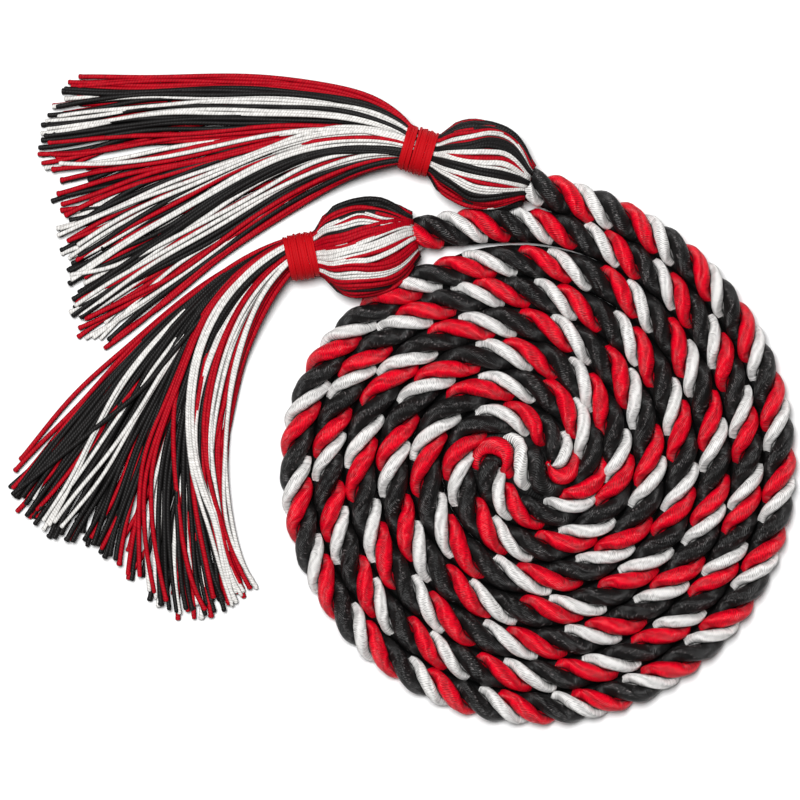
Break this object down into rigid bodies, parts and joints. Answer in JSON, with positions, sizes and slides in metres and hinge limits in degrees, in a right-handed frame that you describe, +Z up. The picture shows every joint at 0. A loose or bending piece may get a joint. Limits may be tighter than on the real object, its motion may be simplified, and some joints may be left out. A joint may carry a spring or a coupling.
{
  "type": "honor cord",
  "caption": "Twisted three-strand rope in red, black and white with a bound tassel on each end, wound flat into a double spiral.",
  "frame": {"origin": "on the surface that the cord lies on, under the middle of its box", "axes": "+X to the right of the layout, away from the tassels; +Y to its top edge, where both rope ends leave the coil; +Z up"},
  "size_m": [0.1808, 0.1488, 0.0151],
  "materials": {
    "rope": "satin",
    "tassel_yarn": "satin",
    "binding_thread": "satin"
  },
  "bodies": {
    "root": {"rope_coil": "rope", "upper_rope_lead": "rope", "lower_rope_lead": "rope", "upper_tassel_yarns": "tassel_yarn", "lower_tassel_yarns": "tassel_yarn", "upper_tassel_binding": "binding_thread", "lower_tassel_binding": "binding_thread"}
  },
  "joints": []
}
